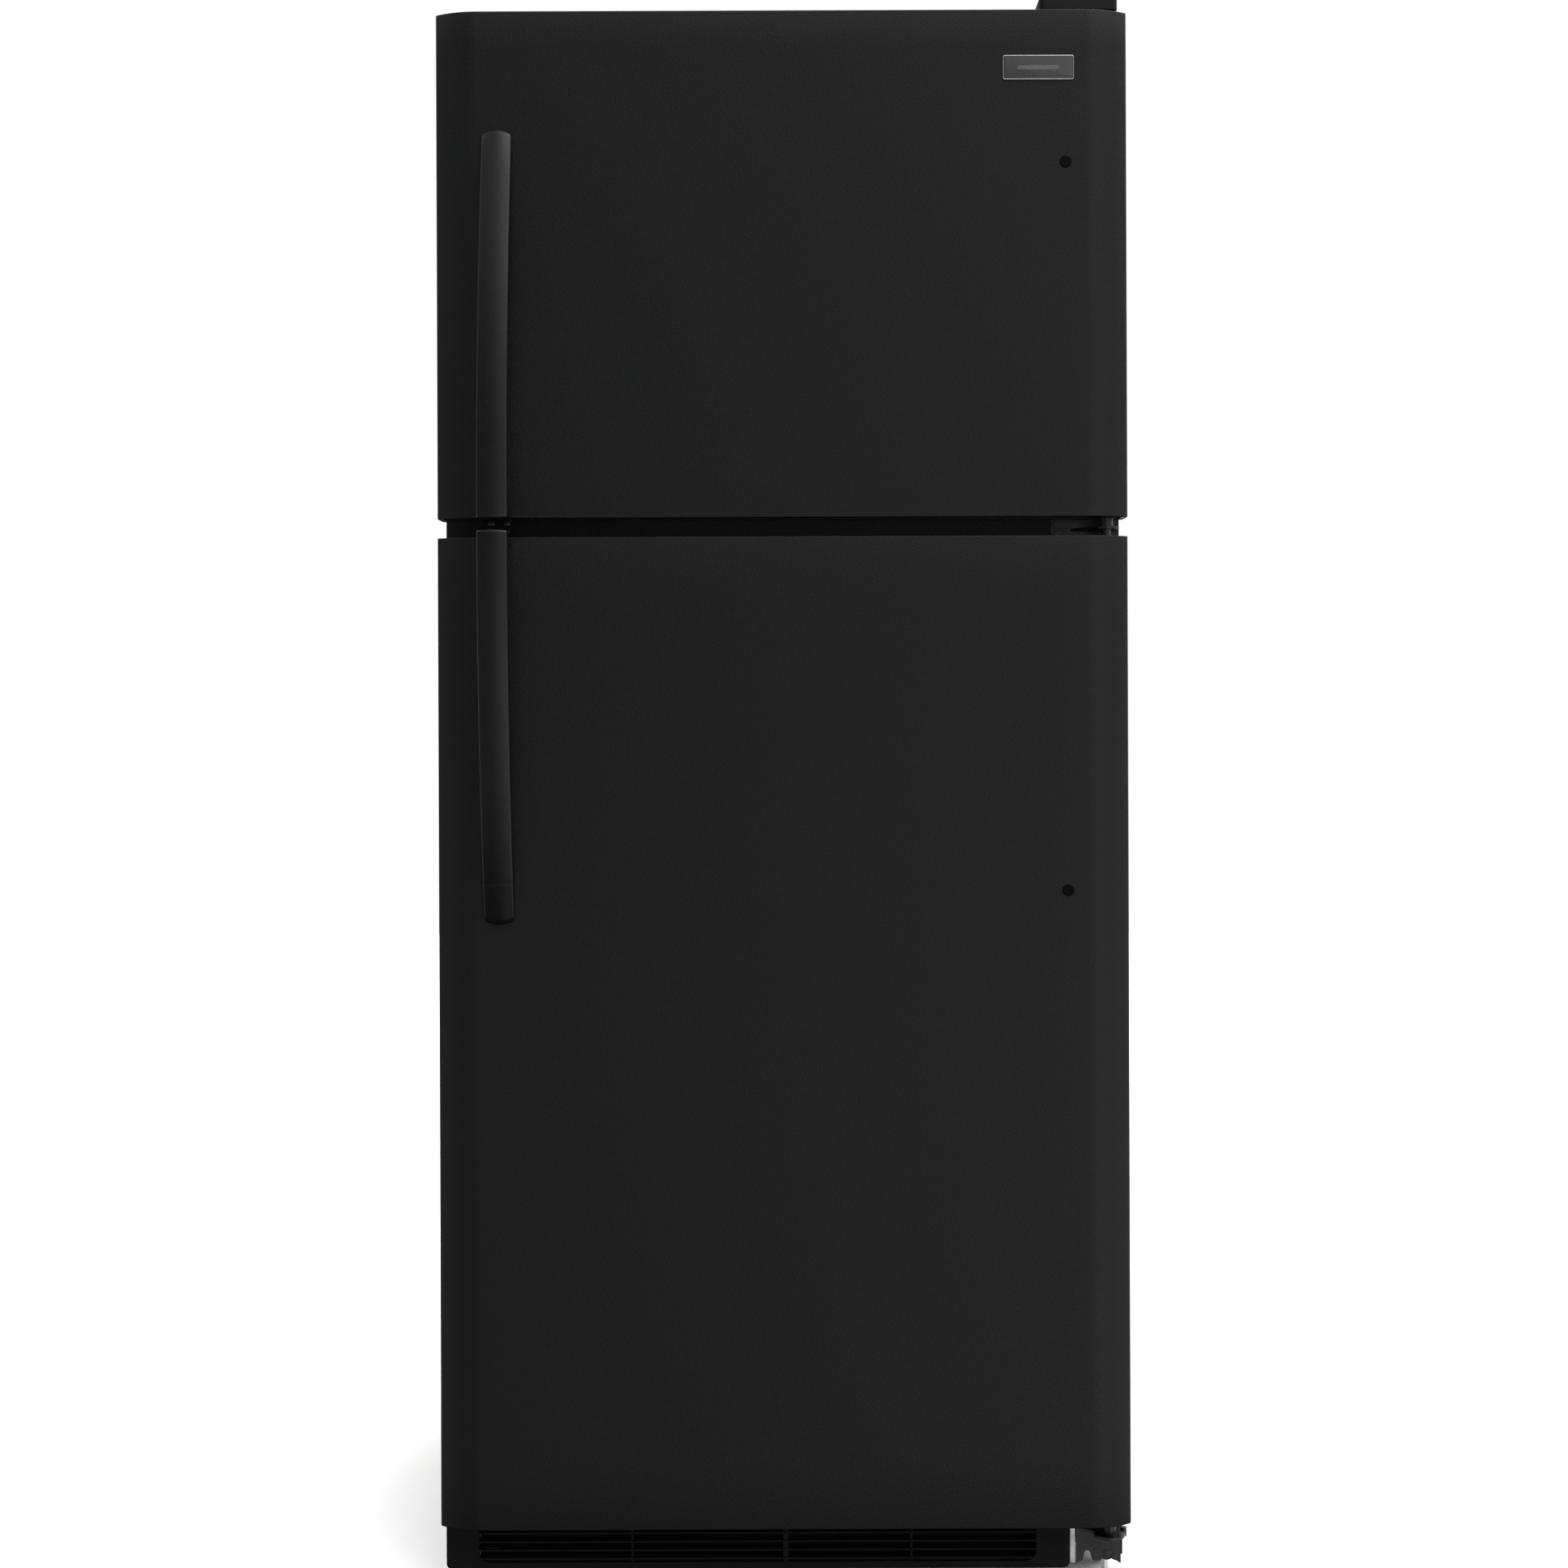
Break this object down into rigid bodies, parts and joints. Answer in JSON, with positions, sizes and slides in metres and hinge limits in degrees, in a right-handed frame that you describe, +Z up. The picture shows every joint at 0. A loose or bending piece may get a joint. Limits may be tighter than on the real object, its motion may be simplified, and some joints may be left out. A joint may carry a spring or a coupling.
{
  "type": "top freezer refrigerator",
  "caption": "Free-standing top freezer refrigerator with black textured doors, bowed handles, toe grille, fitted interior and working hinges and drawers.",
  "frame": {"origin": "centre of the footprint box, on the floor", "axes": "+Z up, front with the doors faces -Y, +X to the hinge side seen as the right from the front"},
  "size_m": [0.762, 0.813, 1.765],
  "materials": {
    "door_steel": "black micro-textured paint, low sheen",
    "cabinet_steel": "black textured paint, low sheen",
    "galvanised": "galvanised, dull",
    "hinge_steel": "black painted steel, satin",
    "handle_plastic": "black satin moulded",
    "black_plastic": "black moulded, fine texture",
    "badge_gloss": "dark gloss with a bright rim",
    "liner_white": "white vacuum-formed, semi-gloss",
    "white_plastic": "white moulded, semi-gloss",
    "clear_plastic": "clear moulded",
    "diffuser": "milky translucent",
    "shelf_glass": "clear float glass with a green edge",
    "gasket_rubber": "soft dark vinyl, matte",
    "foam": "rigid insulation foam",
    "rear_sheet": "grey coated sheet",
    "compressor_steel": "black enamelled, gloss",
    "copper": "drawn copper tube",
    "coil_aluminium": "bare fin stock",
    "condenser_black": "black enamel",
    "wire_white": "white coated wire",
    "zinc_screw": "zinc plated",
    "wheel_plastic": "grey moulded",
    "fan_grey": "dark moulded"
  },
  "bodies": {
    "cabinet": {"cabinet_wrapper": "cabinet_steel", "rear_panel": "rear_sheet", "cabinet_foam": "foam", "freezer_liner": "liner_white", "fridge_liner": "liner_white", "center_mullion": "cabinet_steel", "base_pan": "galvanised", "compressor": "compressor_steel", "condenser_coil": "condenser_black", "condenser_fan_shroud": "black_plastic", "drain_pan": "black_plastic", "refrigerant_tubing": "copper", "rear_cover": "rear_sheet", "evaporator_coil": "coil_aluminium", "evaporator_cover": "white_plastic", "evaporator_fan_motor": "fan_grey", "toe_grille": "black_plastic", "top_hinge": "galvanised", "top_hinge_cover": "black_plastic", "middle_hinge": "hinge_steel", "bottom_hinge": "hinge_steel", "roller_brackets": "galvanised", "control_housing": "white_plastic", "interior_light": "diffuser", "shelf_glass": "shelf_glass", "shelf_frames": "white_plastic", "freezer_shelf": "wire_white", "hinge_screws": "zinc_screw", "cord_bushing": "black_plastic"},
    "freezer_door": {"freezer_door_skin": "door_steel", "freezer_door_caps": "black_plastic", "freezer_door_liner": "liner_white", "freezer_door_foam": "foam", "freezer_door_gasket": "gasket_rubber", "freezer_door_racks": "clear_plastic", "freezer_handle": "handle_plastic", "freezer_handle_mount": "hinge_steel", "freezer_door_plugs": "black_plastic", "badge_plate": "badge_gloss"},
    "fridge_door": {"fridge_door_skin": "door_steel", "fridge_door_caps": "black_plastic", "fridge_door_liner": "liner_white", "fridge_door_foam": "foam", "fridge_door_gasket": "gasket_rubber", "door_bins": "clear_plastic", "dairy_box": "white_plastic", "fridge_handle": "handle_plastic", "fridge_handle_mount": "hinge_steel", "fridge_door_plug": "black_plastic"},
    "dairy_lid": {"dairy_lid": "clear_plastic"},
    "crisper_left": {"crisper_left": "clear_plastic"},
    "crisper_right": {"crisper_right": "clear_plastic"},
    "temperature_knob": {"temperature_knob": "white_plastic"},
    "light_switch_plunger": {"light_switch_plunger": "white_plastic"},
    "evaporator_fan": {"evaporator_fan": "fan_grey"},
    "condenser_fan": {"condenser_fan": "fan_grey"},
    "roller_front_left": {"roller_front_left": "wheel_plastic"},
    "roller_front_right": {"roller_front_right": "wheel_plastic"},
    "roller_rear_left": {"roller_rear_left": "wheel_plastic"},
    "roller_rear_right": {"roller_rear_right": "wheel_plastic"}
  },
  "joints": [
    {"name": "freezer_door_hinge", "type": "hinge", "parent": "cabinet", "child": "freezer_door", "pos_m": [0.36, -0.3035, 1.467], "axis": [0, 0, 1], "range_deg": [0, 130]},
    {"name": "fridge_door_hinge", "type": "hinge", "parent": "cabinet", "child": "fridge_door", "pos_m": [0.36, -0.3035, 0.623], "axis": [0, 0, 1], "range_deg": [0, 130]},
    {"name": "dairy_lid_hinge", "type": "hinge", "parent": "fridge_door", "child": "dairy_lid", "pos_m": [-0.1325, -0.1918, 1.063], "axis": [1, 0, 0], "range_deg": [0, 85]},
    {"name": "crisper_left_slide", "type": "slide", "parent": "cabinet", "child": "crisper_left", "axis": [0, -1, 0], "range_m": [0, 0.2]},
    {"name": "crisper_right_slide", "type": "slide", "parent": "cabinet", "child": "crisper_right", "axis": [0, -1, 0], "range_m": [0, 0.2]},
    {"name": "temperature_knob_turn", "type": "hinge", "parent": "cabinet", "child": "temperature_knob", "pos_m": [0.078, 0.05, 1.116], "axis": [0, -1, 0], "range_deg": [-135, 135]},
    {"name": "light_switch_travel", "type": "slide", "parent": "cabinet", "child": "light_switch_plunger", "axis": [0, -1, 0], "range_m": [0, 0.008]},
    {"name": "evaporator_fan_spin", "type": "hinge", "parent": "cabinet", "child": "evaporator_fan", "pos_m": [0, 0.26, 1.59], "axis": [0, 1, 0], "continuous": true},
    {"name": "condenser_fan_spin", "type": "hinge", "parent": "cabinet", "child": "condenser_fan", "pos_m": [-0.0425, 0.29, 0.15], "axis": [1, 0, 0], "continuous": true},
    {"name": "roller_front_left_spin", "type": "hinge", "parent": "cabinet", "child": "roller_front_left", "pos_m": [-0.358, -0.226, 0.0165], "axis": [1, 0, 0], "continuous": true},
    {"name": "roller_front_right_spin", "type": "hinge", "parent": "cabinet", "child": "roller_front_right", "pos_m": [0.358, -0.226, 0.0165], "axis": [1, 0, 0], "continuous": true},
    {"name": "roller_rear_left_spin", "type": "hinge", "parent": "cabinet", "child": "roller_rear_left", "pos_m": [-0.358, 0.352, 0.015], "axis": [1, 0, 0], "continuous": true},
    {"name": "roller_rear_right_spin", "type": "hinge", "parent": "cabinet", "child": "roller_rear_right", "pos_m": [0.358, 0.352, 0.015], "axis": [1, 0, 0], "continuous": true}
  ],
  "couplings": [
    {"joint": "crisper_left_slide", "follows": "fridge_door_hinge", "m_per_rad": 0.088},
    {"joint": "crisper_right_slide", "follows": "fridge_door_hinge", "m_per_rad": 0.088},
    {"joint": "light_switch_travel", "follows": "fridge_door_hinge", "m_per_rad": 0.0035}
  ]
}
